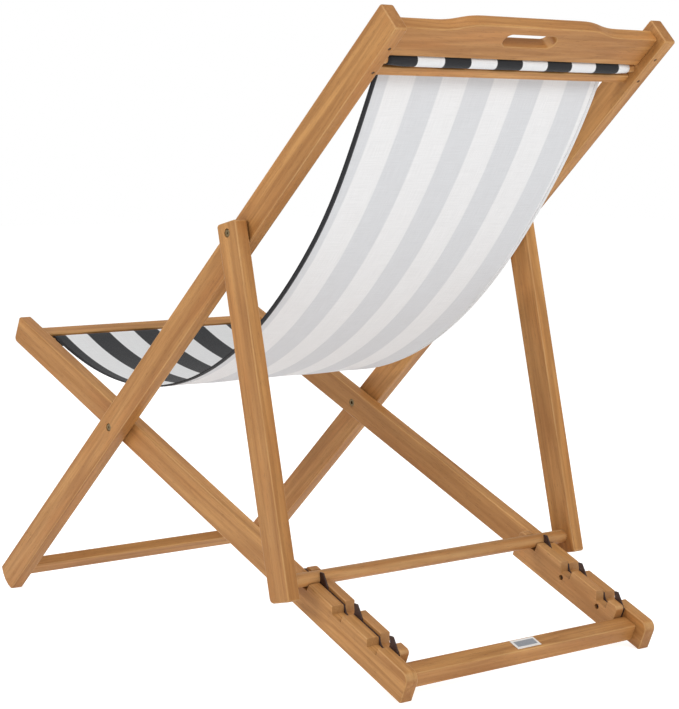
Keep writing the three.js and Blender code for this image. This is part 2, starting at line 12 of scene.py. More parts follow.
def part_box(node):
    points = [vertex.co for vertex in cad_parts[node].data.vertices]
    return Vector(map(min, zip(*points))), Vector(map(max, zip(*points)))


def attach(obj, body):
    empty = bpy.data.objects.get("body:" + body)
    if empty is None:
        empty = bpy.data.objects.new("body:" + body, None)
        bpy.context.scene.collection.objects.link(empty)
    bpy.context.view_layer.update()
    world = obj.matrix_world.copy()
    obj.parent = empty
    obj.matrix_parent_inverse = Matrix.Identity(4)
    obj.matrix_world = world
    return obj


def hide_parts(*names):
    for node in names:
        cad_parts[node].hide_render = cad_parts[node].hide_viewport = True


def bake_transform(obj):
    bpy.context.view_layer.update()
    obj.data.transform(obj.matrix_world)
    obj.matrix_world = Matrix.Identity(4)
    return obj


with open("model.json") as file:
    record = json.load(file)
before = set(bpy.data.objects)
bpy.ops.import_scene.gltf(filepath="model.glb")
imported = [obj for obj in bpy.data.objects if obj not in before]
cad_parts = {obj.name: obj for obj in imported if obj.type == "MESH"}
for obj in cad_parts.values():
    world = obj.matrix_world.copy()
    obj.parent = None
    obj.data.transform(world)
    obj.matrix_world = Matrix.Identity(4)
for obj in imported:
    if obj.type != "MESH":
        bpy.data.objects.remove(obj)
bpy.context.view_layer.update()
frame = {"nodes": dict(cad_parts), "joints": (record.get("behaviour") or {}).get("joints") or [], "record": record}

MM = 0.001
NODES = frame["nodes"]
SUBPARTS = frame["record"]["subparts"]
BODY_OF = {
    node: body
    for body, nodes in frame["record"]["behaviour"]["bodies"].items()
    for node in nodes
}
JOINT_AT = {joint["name"]: Vector(joint["pos_m"]) for joint in frame["joints"]}
BACK_ALONG = (JOINT_AT["prop_swing"] - JOINT_AT["fold"]).normalized()  # up the back rails

# ---- Camera ----
CAMERA_AT = Vector((2.08791, 2.55693, 0.75395))
CAMERA_TURN = math.radians(39.972)  # from looking along -Y, towards -X
CAMERA_DIP = math.radians(5.756)
CAMERA_ROLL = math.radians(0.152)
CAMERA_LENS = 110.24  # millimetres
CAMERA_REACH = 100

# ---- Light and floor ----
LAMPS = {  # where it hangs, its diameter and its power in watts
    "rear": ((0.2, 3.6, 2.3), 1.8, 52),
    "side": ((3.4, -0.6, 2.0), 1.6, 44),
    "front": ((-0.8, -3.4, 2.0), 2.4, 22),
    "overhead": ((0.2, 0.2, 3.6), 2.2, 30),
}
LAMPS_AIM_AT = Vector((0, 0, 0.45))
WHITE = (1, 1, 1, 1)
BACKDROP_LIGHT = 0.46  # what the backdrop gives off
BACKDROP_SEEN = 1.0  # how bright it looks
FLOOR_GREY = (0.6, 0.6, 0.6, 1)
FLOOR_LIGHT = 0.5
FLOOR_SEEN = 0.78
FLOOR_REACH = 14

# ---- Boards and hardware ----
WELD_REACH = 0.002 * MM
FLAT_ENOUGH = math.radians(0.6)  # faces that meet at less than this become one
WOOD_BEVEL = 0.5 * MM
METAL_BEVEL = 0.2 * MM
LABEL_BEVEL = 0.15 * MM
WOOD_SHARP = 50  # edges sharper than this many degrees are bevelled
METAL_SHARP = 40

# ---- Sling ----
CLOTH_THICKNESS = 1.2 * MM
HALF_CLOTH = CLOTH_THICKNESS / 2
ROLL_RADIUS = 9.4 * MM  # outside of the cloth wound on a rod
ROLL_CORE = 6.35 * MM  # inside of it
ROLL_TURNS = 1.6
ROLL_STEPS = int(44 * ROLL_TURNS)
GUIDE_HALF_LENGTH = 7.35 * MM  # of the guide rail, along the back
GUIDE_HALF_DEPTH = 10.5 * MM  # and through it
CLOTH_ON_GUIDE = 1.2 * MM  # air between the guide rail and the cloth
GUIDE_STEPS = 5
REACH_STEPS = 6  # from the guide rail to the top roll
HANGING_STEPS = 190
SEAT_SLOPE = math.radians(26.1)
BACK_SLOPE = math.radians(66.2)
SEAT_PULL = 0.584  # how far each end keeps its slope, as a share of the span
BACK_PULL = 0.183
HALF_AT_SEAT = 214.0 * MM  # half the cloth's width
HALF_AT_GUIDE = 222.0 * MM
HALF_AT_ROLL = 238.0 * MM
WIDENS_FROM = 0.72  # shares of the way from the seat's front up to the guide rail
ROLL_SHIFT = -3.0 * MM  # the top roll sits off centre
ROLL_SLIP = 8.0 * MM  # how far the stripes have slipped sideways on the top roll
ROLL_GATHER = 34.0 * MM  # the roll draws in this far from its ends
GATHER_CORE = ROLL_CORE - 0.1 * MM  # and closes on this radius
SEAT_SLIP = -8.0 * MM  # the stripes' slip at the front of the seat
SEAT_SLIP_ENDS = 0.35
HEM_SLIP = 11.0 * MM  # a slip the other way, added there towards the left edge
HEM_SLIP_SIDES = (0.55, 0.91)
SEAT_LIFT = 3.8 * MM  # the middle of the cloth lies this far above its plain curve
LIFT_RISES = (0.0, 0.4)
LIFT_FALLS = (0.45, 0.85)
SLING_COLUMNS = 60
STRIPE = 50.0 * MM
FIRST_STRIPE = 195.0 * MM  # the outermost dark stripe starts here
LAST_DARK = FIRST_STRIPE + 0.9 * STRIPE  # and from here on the cloth stays dark to its edge
YARN_PITCH = 1.0 * MM
HEM_WIDTH = 6.5 * MM
HEM_THICKNESS = 0.8 * MM
HEM_FOLD_STEPS = 6
STITCH_PITCH = 3.4 * MM
STITCH_LENGTH = 2.4 * MM
STITCH_RADIUS = 0.32 * MM
STITCH_RINGS = ((0, 0.35), (0.25, 1), (0.75, 1), (1, 0.35))  # share of its length, of its radius
STITCH_SIDES = 5
STITCH_LIFT = 0.12 * MM
STITCH_FROM_HEM = 1.6 * MM  # from the hem's inner edge

# ---- Colours and metals ----
HONEY = (0.590, 0.300, 0.098, 1)
HONEY_DARK = (0.290, 0.118, 0.030, 1)
PALE = (0.610, 0.320, 0.118, 1)
PALE_DARK = (0.330, 0.145, 0.044, 1)
RUSSET = (0.46, 0.175, 0.040, 1)
PORE_BROWN = (0.12, 0.05, 0.02, 1)
# pale edge colour: painted highlight along rounded edges, plus finish rubbed thin there
WORN_AND_LIT_WOOD = (0.74, 0.48, 0.22, 1)
CLOTH_DARK = (0.020, 0.021, 0.024, 1)
CLOTH_WHITE = (0.78, 0.785, 0.79, 1)
# the plain back: a brighter white and faint dark stripes, painted for light passing through the thin cloth
CLOTH_BACK_LIT_THROUGH = (0.83, 0.83, 0.835, 1)
CLOTH_SHOW_THROUGH_SHADE = (0.69, 0.70, 0.72, 1)  # the dark stripes seen through the cloth
DARK_THREAD = (0.12, 0.12, 0.125, 1)
WHITE_THREAD = (0.74, 0.74, 0.73, 1)
PLATE_LOW = (0.30, 0.33, 0.37, 1)
PLATE_HIGH = (0.52, 0.54, 0.57, 1)
PLATE_BORDER = (0.80, 0.77, 0.73, 1)
METALS = {  # colour, colour where it is chipped, roughness and metallic
    "dark_bronze": ((0.060, 0.031, 0.025, 1), (0.17, 0.11, 0.08, 1), 0.42, 0.35),
    "brown_pin": ((0.10, 0.052, 0.026, 1), (0.20, 0.12, 0.07, 1), 0.5, 0.3),
    "yellow_zinc": ((0.25, 0.18, 0.09, 1), (0.40, 0.33, 0.22, 1), 0.36, 0.8),
}


# ---- Camera, light and floor ----
def place_camera():
    forward = Vector((
        -math.sin(CAMERA_TURN) * math.cos(CAMERA_DIP),
        -math.cos(CAMERA_TURN) * math.cos(CAMERA_DIP),
        -math.sin(CAMERA_DIP),
    ))
    level = Vector((-math.cos(CAMERA_TURN), math.sin(CAMERA_TURN), 0))
    upright = level.cross(forward)
    right = math.cos(CAMERA_ROLL) * level + math.sin(CAMERA_ROLL) * upright
    up = right.cross(forward)
    turn = Matrix((right, up, -forward)).transposed().to_4x4()
    camera = bpy.data.objects.new("camera", bpy.data.cameras.new("camera"))
    camera.data.sensor_fit = "HORIZONTAL"
    camera.data.lens = CAMERA_LENS
    camera.data.clip_end = CAMERA_REACH
    camera.matrix_world = Matrix.Translation(CAMERA_AT) @ turn
    bpy.context.scene.collection.objects.link(camera)
    bpy.context.scene.camera = camera


def hang_lamps():
    for name, (place_at, diameter, power) in LAMPS.items():
        data = bpy.data.lights.new(name, "AREA")
        data.shape = "DISK"
        data.size = diameter
        data.energy = power
        lamp = bpy.data.objects.new(name, data)
        lamp.location = place_at
        lamp.rotation_euler = (LAMPS_AIM_AT - Vector(place_at)).to_track_quat("-Z", "Y").to_euler()
        bpy.context.scene.collection.objects.link(lamp)


def glow(tree, given_off, seen):
    """Strength of a white surface that looks brighter to the camera than the light it gives off."""
    by_camera = place(tree, "LightPath").outputs["Is Camera Ray"]
    return ranged(tree, by_camera, 0, 1, given_off, seen)


def set_backdrop():
    world = bpy.data.worlds.new("studio")
    world.use_nodes = True
    backdrop = world.node_tree.nodes["Background"].inputs
    backdrop["Color"].default_value = WHITE
    strength = glow(world.node_tree, BACKDROP_LIGHT, BACKDROP_SEEN)
    world.node_tree.links.new(strength, backdrop["Strength"])
    bpy.context.scene.world = world
    bpy.context.scene.view_settings.view_transform = "Standard"


def lay_floor():
    corners = [(x * FLOOR_REACH, y * FLOOR_REACH, 0) for x, y in ((-1, -1), (1, -1), (1, 1), (-1, 1))]
    data = bpy.data.meshes.new("floor")
    data.from_pydata(corners, [], [(0, 1, 2, 3)])
    floor = bpy.data.objects.new("floor", data)
    bpy.context.scene.collection.objects.link(floor)
    paint, tree, shader = start_material("floor_paint")
    shader.inputs["Base Color"].default_value = FLOOR_GREY
    shader.inputs["Emission Color"].default_value = WHITE
    shader.inputs["Roughness"].default_value = 1.0
    shader.inputs["Specular IOR Level"].default_value = 0.0
    tree.links.new(glow(tree, FLOOR_LIGHT, FLOOR_SEEN), shader.inputs["Emission Strength"])
    data.materials.append(paint)


# ---- Node helpers: a value is a number, a colour or another node's output ----
def give(tree, socket, value):
    if isinstance(value, bpy.types.NodeSocket):
        tree.links.new(value, socket)
    else:
        socket.default_value = value


def place(tree, kind, values=None, **settings):
    """A shader node, with what its inputs are given and how it is set."""
    made = tree.nodes.new("ShaderNode" + kind)
    for key, value in settings.items():
        setattr(made, key, value)
    for key, value in (values or {}).items():
        give(tree, made.inputs[key], value)
    return made


def sums(tree, operation, first, second=0.0, third=0.0):
    """A Math node's result."""
    made = place(tree, "Math", operation=operation)
    for socket, value in zip(made.inputs, (first, second, third)):
        give(tree, socket, value)
    return made.outputs[0]


def times(tree, first, second):
    return sums(tree, "MULTIPLY", first, second)


def scaled(tree, value, factor, base):
    """value × factor + base"""
    return sums(tree, "MULTIPLY_ADD", value, factor, base)


def mixed(tree, share, first, second, mode="MIX"):
    made = place(tree, "Mix", data_type="RGBA", blend_type=mode)
    colour_a, colour_b = made.inputs[6], made.inputs[7]
    for socket, value in ((made.inputs[0], share), (colour_a, first), (colour_b, second)):
        give(tree, socket, value)
    return made.outputs[2]


def ranged(tree, value, low, high, to_low=0.0, to_high=1.0):
    """value from low to high, spread over to_low to to_high and held there past its ends."""
    ends = {"Value": value, "From Min": low, "From Max": high, "To Min": to_low, "To Max": to_high}
    return place(tree, "MapRange", ends).outputs[0]


def noise(tree, position, detail=3.0, roughness=0.5, distortion=0.0):
    look = {"Detail": detail, "Roughness": roughness, "Distortion": distortion}
    return place(tree, "TexNoise", {"Vector": position, "Scale": 1.0, **look}).outputs["Fac"]


def stretched(tree, position, along, across, depth=None):
    """Position for a noise with this many cells to a metre along the piece, across it and into it."""
    scale = (along, across, across if depth is None else depth)
    return place(tree, "VectorMath", {0: position, 1: scale}, operation="MULTIPLY").outputs[0]


def parts_of(tree, vector):
    return place(tree, "SeparateXYZ", {0: vector}).outputs


def start_group(name, inputs, outputs):
    tree = bpy.data.node_groups.new(name, "ShaderNodeTree")
    for label, kind in inputs.items():
        tree.interface.new_socket(label, in_out="INPUT", socket_type="NodeSocket" + kind)
    for label, kind in outputs.items():
        tree.interface.new_socket(label, in_out="OUTPUT", socket_type="NodeSocket" + kind)
    given = tree.nodes.new("NodeGroupInput").outputs
    return tree, given, tree.nodes.new("NodeGroupOutput").inputs


def use_group(tree, group, values):
    made = tree.nodes.new("ShaderNodeGroup")
    made.node_tree = GROUPS[group]
    for key, value in values.items():
        give(tree, made.inputs[key], value)
    return made.outputs


# ---- Shared effects ----
def make_grain():
    """Long-grained hardwood: broad light and dark bands, growth rings, streaks and open pores.
    Position runs along the grain in x, in metres."""
    tree, given, result = start_group(
        "hardwood_grain",
        {"Position": "Vector", "Light": "Color", "Dark": "Color", "Ring Count": "Float"},
        {"Color": "Color", "Roughness": "Float", "Height": "Float"},
    )
    position, dark = given["Position"], given["Dark"]

    broad = noise(tree, stretched(tree, position, 1.6, 26), 3.0, 0.55)
    tone = mixed(tree, ranged(tree, broad, 0.32, 0.68, 0.0, 0.52), given["Light"], dark)
    warmth = noise(tree, stretched(tree, position, 5, 34), 2.0, 0.5)
    tone = mixed(tree, ranged(tree, warmth, 0.45, 0.66, 0.0, 0.45), tone, RUSSET)

    figure = noise(tree, stretched(tree, position, 1.1, 17), 2.0, 0.45, 0.4)
    turns = times(tree, given["Ring Count"], 2 * math.pi)
    rings = ranged(tree, sums(tree, "SINE", times(tree, figure, turns)), -0.2, 1.0)
    ringed = mixed(tree, times(tree, rings, 0.42), tone, dark)

    fine = noise(tree, stretched(tree, position, 9, 330), 4.0, 0.65)
    coarse = noise(tree, stretched(tree, position, 4.5, 95), 3.0, 0.6, 0.15)
    streaks = ranged(tree, scaled(tree, coarse, 0.55, times(tree, fine, 0.45)), 0.40, 0.64)
    streaked = mixed(tree, times(tree, streaks, 0.60), ringed, dark)

    pores = ranged(tree, noise(tree, stretched(tree, position, 70, 1500), 2.0, 0.6), 0.60, 0.72)
    pored = mixed(tree, times(tree, pores, 0.55), streaked, PORE_BROWN)

    polish = scaled(tree, streaks, 0.12, 0.42)
    relief = sums(tree, "ADD", times(tree, streaks, -0.35), times(tree, pores, -0.65))
    tree.links.new(pored, result["Color"])
    tree.links.new(scaled(tree, pores, 0.15, polish), result["Roughness"])
    tree.links.new(relief, result["Height"])
    return tree


def make_edge_wear_and_highlight():
    """A mask on rounded edges: painted highlight where the rounding catches light, and finish rubbed thin there by
    handling and sanding.
    Facing is the surface normal in the piece's own axes."""
    tree, given, result = start_group(
        "edge_wear_and_highlight", {"Facing": "Vector", "Position": "Vector"}, {"Mask": "Float"},
    )
    sides = [sums(tree, "ABSOLUTE", side) for side in parts_of(tree, given["Facing"])]
    squarest = sums(tree, "MAXIMUM", sides[0], sums(tree, "MAXIMUM", sides[1], sides[2]))
    worn = ranged(tree, squarest, 0.985, 0.86)
    patches = noise(tree, stretched(tree, given["Position"], 14, 60))
    tree.links.new(times(tree, worn, ranged(tree, patches, 0.3, 0.6, 0.35, 1.0)), result["Mask"])
    return tree


def make_end_grain():
    """A mask on sawn ends and notch walls, where the cut fibres drink more oil and turn darker."""
    tree, given, result = start_group(
        "end_grain", {"Facing": "Vector", "Position": "Vector"}, {"Mask": "Float"},
    )
    along = parts_of(tree, given["Facing"])[0]
    cut = ranged(tree, sums(tree, "ABSOLUTE", along), 0.45, 0.92)
    fibres = noise(tree, stretched(tree, given["Position"], 420, 420))
    tree.links.new(times(tree, cut, ranged(tree, fibres, 0.35, 0.65, 0.6, 1.0)), result["Mask"])
    return tree


def make_scuffs():
    """Fine brushed lines and soft blotches for metal."""
    tree, given, result = start_group(
        "metal_scuffs", {"Position": "Vector"}, {"Lines": "Float", "Blotch": "Float"},
    )
    lines = noise(tree, stretched(tree, given["Position"], 400, 5200, 900), 3.0, 0.6)
    blotch = noise(tree, stretched(tree, given["Position"], 240, 240), 4.0, 0.6)
    tree.links.new(ranged(tree, lines, 0.3, 0.7), result["Lines"])
    tree.links.new(ranged(tree, blotch, 0.35, 0.65), result["Blotch"])
    return tree


def make_weave():
    """Plain canvas weave from cloth coordinates in metres: thread relief and uneven yarn."""
    tree, given, result = start_group(
        "canvas_weave", {"Cloth": "Vector", "Pitch": "Float"}, {"Height": "Float", "Yarn": "Float"},
    )
    cloth = given["Cloth"]
    split = parts_of(tree, cloth)
    turns = sums(tree, "DIVIDE", math.pi, given["Pitch"])
    across = sums(tree, "SINE", times(tree, split[0], turns))
    along = sums(tree, "SINE", times(tree, split[1], turns))
    over = times(tree, across, along)
    warp = times(tree, sums(tree, "ABSOLUTE", across), scaled(tree, over, 0.5, 0.5))
    weft = times(tree, sums(tree, "ABSOLUTE", along), scaled(tree, over, -0.5, 0.5))
    slubs_across = noise(tree, stretched(tree, cloth, 900, 26, 1), 2.0)
    slubs_along = noise(tree, stretched(tree, cloth, 26, 900, 1), 2.0)
    slubs = sums(tree, "ADD", slubs_across, slubs_along)
    tree.links.new(sums(tree, "MAXIMUM", warp, weft), result["Height"])
    tree.links.new(ranged(tree, slubs, 0.8, 1.2), result["Yarn"])
    return tree


def make_stripes():
    """1 on the dark stripes and 0 on the white ones, from the distance across the cloth."""
    tree, given, result = start_group(
        "stripe_print", {"Cloth": "Vector", "Softness": "Float"}, {"Dark": "Float"},
    )
    across = sums(tree, "MINIMUM", parts_of(tree, given["Cloth"])[0], LAST_DARK)
    bleeding = noise(tree, stretched(tree, given["Cloth"], 900, 900, 1), 1.0)
    fray = scaled(tree, bleeding, 0.8 * MM, -0.4 * MM)
    from_first = sums(tree, "ADD", sums(tree, "ADD", across, fray), -FIRST_STRIPE)
    into_stripe = sums(tree, "PINGPONG", from_first, STRIPE)
    from_edge = sums(tree, "MINIMUM", into_stripe, sums(tree, "SUBTRACT", STRIPE, into_stripe))
    firm = sums(tree, "MINIMUM", 1.0, sums(tree, "DIVIDE", from_edge, given["Softness"]))
    count = sums(tree, "FLOOR", sums(tree, "DIVIDE", from_first, STRIPE))
    odd = sums(tree, "FLOORED_MODULO", count, 2.0)
    side = sums(tree, "SUBTRACT", 0.5, odd)
    tree.links.new(scaled(tree, times(tree, side, firm), 1.0, 0.5), result["Dark"])
    return tree


# ---- Materials ----
def start_material(name):
    material = bpy.data.materials.new(name)
    material.use_nodes = True
    return material, material.node_tree, material.node_tree.nodes["Principled BSDF"]


def bump(tree, height, distance, strength=1.0):
    raised = {"Height": height, "Distance": distance, "Strength": strength}
    return place(tree, "Bump", raised).outputs["Normal"]


def darker(colour, share):
    return tuple(share * channel for channel in colour[:3]) + (1,)


def object_place(tree):
    return place(tree, "TexCoord").outputs["Object"]


def along_piece(tree, axes, seed):
    """Place and facing in the piece's own axes, x along the grain.
    Each seed shifts the place, so that no two boards match."""
    turn = Matrix(axes).to_euler()
    coordinates = place(tree, "TexCoord").outputs
    shift = (1.7 * seed, 0.61 * seed, 0.37 * seed)
    mapping = {"Vector": coordinates["Object"], "Location": shift, "Rotation": turn}
    position = place(tree, "Mapping", mapping, vector_type="POINT").outputs[0]
    facing = {"Vector": coordinates["Normal"], "Rotation": turn}
    return position, place(tree, "Mapping", facing, vector_type="VECTOR").outputs[0]


def wood_finish(name, axes, seed, light, dark):
    material, tree, shader = start_material(name)
    position, facing = along_piece(tree, axes, seed)
    grain = use_group(tree, "grain", {
        "Position": position, "Light": light, "Dark": dark, "Ring Count": 7.0 + seed % 4,
    })
    worn_and_lit = use_group(tree, "wear_and_highlight", {"Facing": facing, "Position": position})["Mask"]
    sawn = use_group(tree, "ends", {"Facing": facing, "Position": position})["Mask"]
    soaked = mixed(tree, times(tree, sawn, 0.7), grain["Color"], dark)
    # rounded edges paled: painted highlight where they catch light, plus rubbed-thin finish
    colour = mixed(tree, times(tree, worn_and_lit, 0.30), soaked, WORN_AND_LIT_WOOD)
    tree.links.new(colour, shader.inputs["Base Color"])
    tree.links.new(grain["Roughness"], shader.inputs["Roughness"])
    tree.links.new(bump(tree, grain["Height"], 0.12 * MM), shader.inputs["Normal"])
    shader.inputs["Specular IOR Level"].default_value = 0.28
    shader.inputs["Coat Weight"].default_value = 0.04
    shader.inputs["Coat Roughness"].default_value = 0.35
    return material


def metal_finish(name, colour, worn, roughness, metallic):
    material, tree, shader = start_material(name)
    position = object_place(tree)
    scuffs = use_group(tree, "scuffs", {"Position": position})
    chips = noise(tree, stretched(tree, position, 700, 700), 4.0, 0.6)
    chipped = ranged(tree, chips, 0.60, 0.66, 0.0, 0.6)
    dulled = mixed(tree, times(tree, scuffs["Blotch"], 0.35), colour, darker(colour, 0.6))
    tree.links.new(mixed(tree, chipped, dulled, worn), shader.inputs["Base Color"])
    tree.links.new(scaled(tree, scuffs["Lines"], 0.16, roughness), shader.inputs["Roughness"])
    tree.links.new(bump(tree, scuffs["Lines"], 0.03 * MM), shader.inputs["Normal"])
    shader.inputs["Metallic"].default_value = metallic
    return material


def cloth_finish(name, dark, light, softness):
    """Striped canvas. The hollows between its threads get painted shade, and thin yarn is a little darker."""
    material, tree, shader = start_material(name)
    cloth = place(tree, "UVMap", uv_map="cloth").outputs[0]
    weave = use_group(tree, "weave", {"Cloth": cloth, "Pitch": YARN_PITCH})
    stripe = use_group(tree, "stripes", {"Cloth": cloth, "Softness": softness})["Dark"]
    # painted shade in the hollows between the threads
    hollow_shade = scaled(tree, weave["Height"], 0.16, 0.87)
    yarn = scaled(tree, weave["Yarn"], 0.07, 0.96)
    shade_and_yarn = times(tree, hollow_shade, yarn)
    grey = place(tree, "CombineColor", {0: shade_and_yarn, 1: shade_and_yarn, 2: shade_and_yarn}).outputs[0]
    colour = mixed(tree, 1.0, mixed(tree, stripe, light, dark), grey, "MULTIPLY")
    tree.links.new(colour, shader.inputs["Base Color"])
    tree.links.new(scaled(tree, weave["Yarn"], 0.1, 0.82), shader.inputs["Roughness"])
    tree.links.new(bump(tree, weave["Height"], 0.18 * MM, 0.7), shader.inputs["Normal"])
    shader.inputs["Specular IOR Level"].default_value = 0.25
    shader.inputs["Sheen Weight"].default_value = 0.12
    shader.inputs["Sheen Roughness"].default_value = 0.5
    return material


def thread_finish(name, colour):
    material, tree, shader = start_material(name)
    fibres = noise(tree, stretched(tree, object_place(tree), 2600, 2600), 2.0)
    twist = ranged(tree, fibres, 0.3, 0.7)
    twisted = mixed(tree, times(tree, twist, 0.4), colour, darker(colour, 0.5))
    tree.links.new(twisted, shader.inputs["Base Color"])
    tree.links.new(bump(tree, twist, 0.1 * MM), shader.inputs["Normal"])
    shader.inputs["Roughness"].default_value = 0.75
    return material


def label_finish(centre, half_length, half_width, depth_axis):
    """Blank silvery plate: brushed field, pale painted border."""
    material, tree, shader = start_material("label_finish")
    position = object_place(tree)
    offset = place(tree, "VectorMath", {0: position, 1: tuple(centre)}, operation="SUBTRACT").outputs[0]

    def from_rim(half, axis):
        reach = place(tree, "VectorMath", {0: offset, 1: tuple(axis)}, operation="DOT_PRODUCT")
        return sums(tree, "SUBTRACT", half, sums(tree, "ABSOLUTE", reach.outputs["Value"]))

    nearest = sums(tree, "MINIMUM", from_rim(half_length, (1, 0, 0)), from_rim(half_width, depth_axis))
    border = ranged(tree, nearest, 4.2 * MM, 3.4 * MM)
    scuffs = use_group(tree, "scuffs", {"Position": position})
    field = mixed(tree, scuffs["Lines"], PLATE_LOW, PLATE_HIGH)
    tree.links.new(mixed(tree, border, field, PLATE_BORDER), shader.inputs["Base Color"])
    tree.links.new(scaled(tree, border, 0.2, 0.34), shader.inputs["Roughness"])
    tree.links.new(scaled(tree, border, -0.6, 0.6), shader.inputs["Metallic"])
    tree.links.new(bump(tree, scuffs["Lines"], 0.02 * MM), shader.inputs["Normal"])
    return material


# ---- Boards, rods and hardware: the CAD shapes with welded, softened edges ----
def refine(node, bevel, sharp):
    """The node's own shape as one welded mesh, with smooth rounds and a small bevel on edges
    that are sharper than so many degrees."""
    data = NODES[node].data.copy()
    data.materials.clear()
    mesh = bmesh.new()
    mesh.from_mesh(data)
    bmesh.ops.remove_doubles(mesh, verts=mesh.verts, dist=WELD_REACH)
    bmesh.ops.dissolve_limit(mesh, angle_limit=FLAT_ENOUGH, verts=mesh.verts, edges=mesh.edges)
    mesh.to_mesh(data)
    mesh.free()
    piece = bpy.data.objects.new(node + "_made", data)
    bpy.context.scene.collection.objects.link(piece)
    data.shade_smooth()
    data.set_sharp_from_angle(angle=math.radians(sharp))
    softened = piece.modifiers.new("softened", "BEVEL")
    softened.width = bevel
    softened.segments = 2
    softened.limit_method = "ANGLE"
    softened.angle_limit = math.radians(sharp + 2)
    flattened = piece.modifiers.new("flattened", "WEIGHTED_NORMAL")
    flattened.keep_sharp = True
    flattened.weight = 100
    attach(piece, BODY_OF[node])
    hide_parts(node)
    return piece


def board_axes(piece):
    """Rows: along the piece's longest edge, then out of its broadest side, then the third way."""
    data = piece.data
    corners = [vertex.co for vertex in data.vertices]
    edges = [corners[end] - corners[start] for start, end in (edge.vertices for edge in data.edges)]
    along = max(edges, key=lambda edge: edge.length).normalized()
    sides = [face for face in data.polygons if abs(face.normal.dot(along)) < 0.1]
    broad = max(sides, key=lambda face: face.area).normal
    broad = (broad - along * broad.dot(along)).normalized()
    return along, broad, along.cross(broad)


def finish_woodwork():
    wooden = [entry["node"] for entry in SUBPARTS if entry["material_slot"] == "wood"]
    for seed, node in enumerate(sorted(wooden)):
        pale = node.startswith(("rack", "prop_dowel", "sling_top"))
        light, dark = (PALE, PALE_DARK) if pale else (HONEY, HONEY_DARK)
        piece = refine(node, WOOD_BEVEL, WOOD_SHARP)
        piece.data.materials.append(wood_finish("wood_" + node, board_axes(piece), seed, light, dark))


def finish_hardware():
    bronze, brown, zinc = (metal_finish(name, *look) for name, look in METALS.items())
    finishes = {"steel": zinc, "dark_metal": bronze}
    for entry in SUBPARTS:
        node, slot = entry["node"], entry["material_slot"]
        if slot in finishes:
            finish = brown if node.startswith("rail_pin") else finishes[slot]
            refine(node, METAL_BEVEL, METAL_SHARP).data.materials.append(finish)


def finish_label():
    plate = refine("label_plate", LABEL_BEVEL, METAL_SHARP)
    low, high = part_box("label_plate")
    centre = (low + high) / 2
    depth_axis = board_axes(plate)[2]
    half_width = max((vertex.co - centre).dot(depth_axis) for vertex in plate.data.vertices)
    finish = label_finish(centre, (high.x - low.x) / 2, half_width, depth_axis)
    plate.data.materials.append(finish)


# ---- Sling ----
def middle_of(node):
    """(y, z) of the node's middle, in the sling's side view."""
    low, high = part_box(node)
    centre = (low + high) / 2
    return np.array((centre.y, centre.z))


def heading(angle):
    return np.array((math.cos(angle), math.sin(angle)))


def winding(centre, start, direction):
    """Cloth wound on a rod, from the angle where it leaves the roll in to its free end."""
    outer, inner = ROLL_RADIUS - HALF_CLOTH, ROLL_CORE + HALF_CLOTH
    points = []
    for step in range(ROLL_STEPS + 1):
        share = step / ROLL_STEPS
        radius = outer + (inner - outer) * share
        points.append(centre + radius * heading(start + direction * 2 * math.pi * ROLL_TURNS * share))
    return points


def straight(start, end, steps):
    return [start + (end - start) * step / steps for step in range(steps + 1)]


def sling_centre_line():
    """(y, z) points from the inner end of the front roll to the inner end of the top roll, and the
    steps at which the seat, the guide rail and the top roll start."""
    back_angle = math.atan2(BACK_ALONG.z, BACK_ALONG.y)
    along, above = heading(back_angle), heading(back_angle + math.pi / 2)
    front, top = middle_of("sling_front_rod"), middle_of("sling_top_rod")
    outer = ROLL_RADIUS - HALF_CLOTH

    leave_angle = math.pi / 2 - SEAT_SLOPE
    front_roll = winding(front, leave_angle, 1)[::-1]

    over_guide = GUIDE_HALF_DEPTH + CLOTH_ON_GUIDE + HALF_CLOTH
    face = middle_of("sling_guide_rail") + above * over_guide
    guide_low, guide_high = face - along * GUIDE_HALF_LENGTH, face + along * GUIDE_HALF_LENGTH

    start = front + outer * heading(leave_angle)
    span = np.linalg.norm(guide_low - start)
    first = start + heading(-SEAT_SLOPE) * span * SEAT_PULL
    last = guide_low - heading(BACK_SLOPE) * span * BACK_PULL
    share = np.arange(1, HANGING_STEPS)[:, None] / HANGING_STEPS
    left = 1 - share
    hanging = left ** 3 * start + 3 * left ** 2 * share * first
    hanging += 3 * left * share ** 2 * last + share ** 3 * guide_low

    to_rod = guide_high - top
    touch = math.atan2(to_rod[1], to_rod[0]) - math.acos(outer / np.linalg.norm(to_rod))
    meet = top + outer * heading(touch)
    reach = straight(guide_high, meet, REACH_STEPS)[1:-1]

    points = front_roll + list(hanging)
    marks = {"seat": len(front_roll), "guide": len(points)}
    points += straight(guide_low, guide_high, GUIDE_STEPS) + reach
    marks["top"] = len(points)
    points += winding(top, touch, -1)
    return np.array(points), marks


def rising(value, start, end):
    """0 up to start, 1 from end on, and smooth between them."""
    share = np.clip((value - start) / (end - start), 0, 1)
    return share * share * (3 - 2 * share)


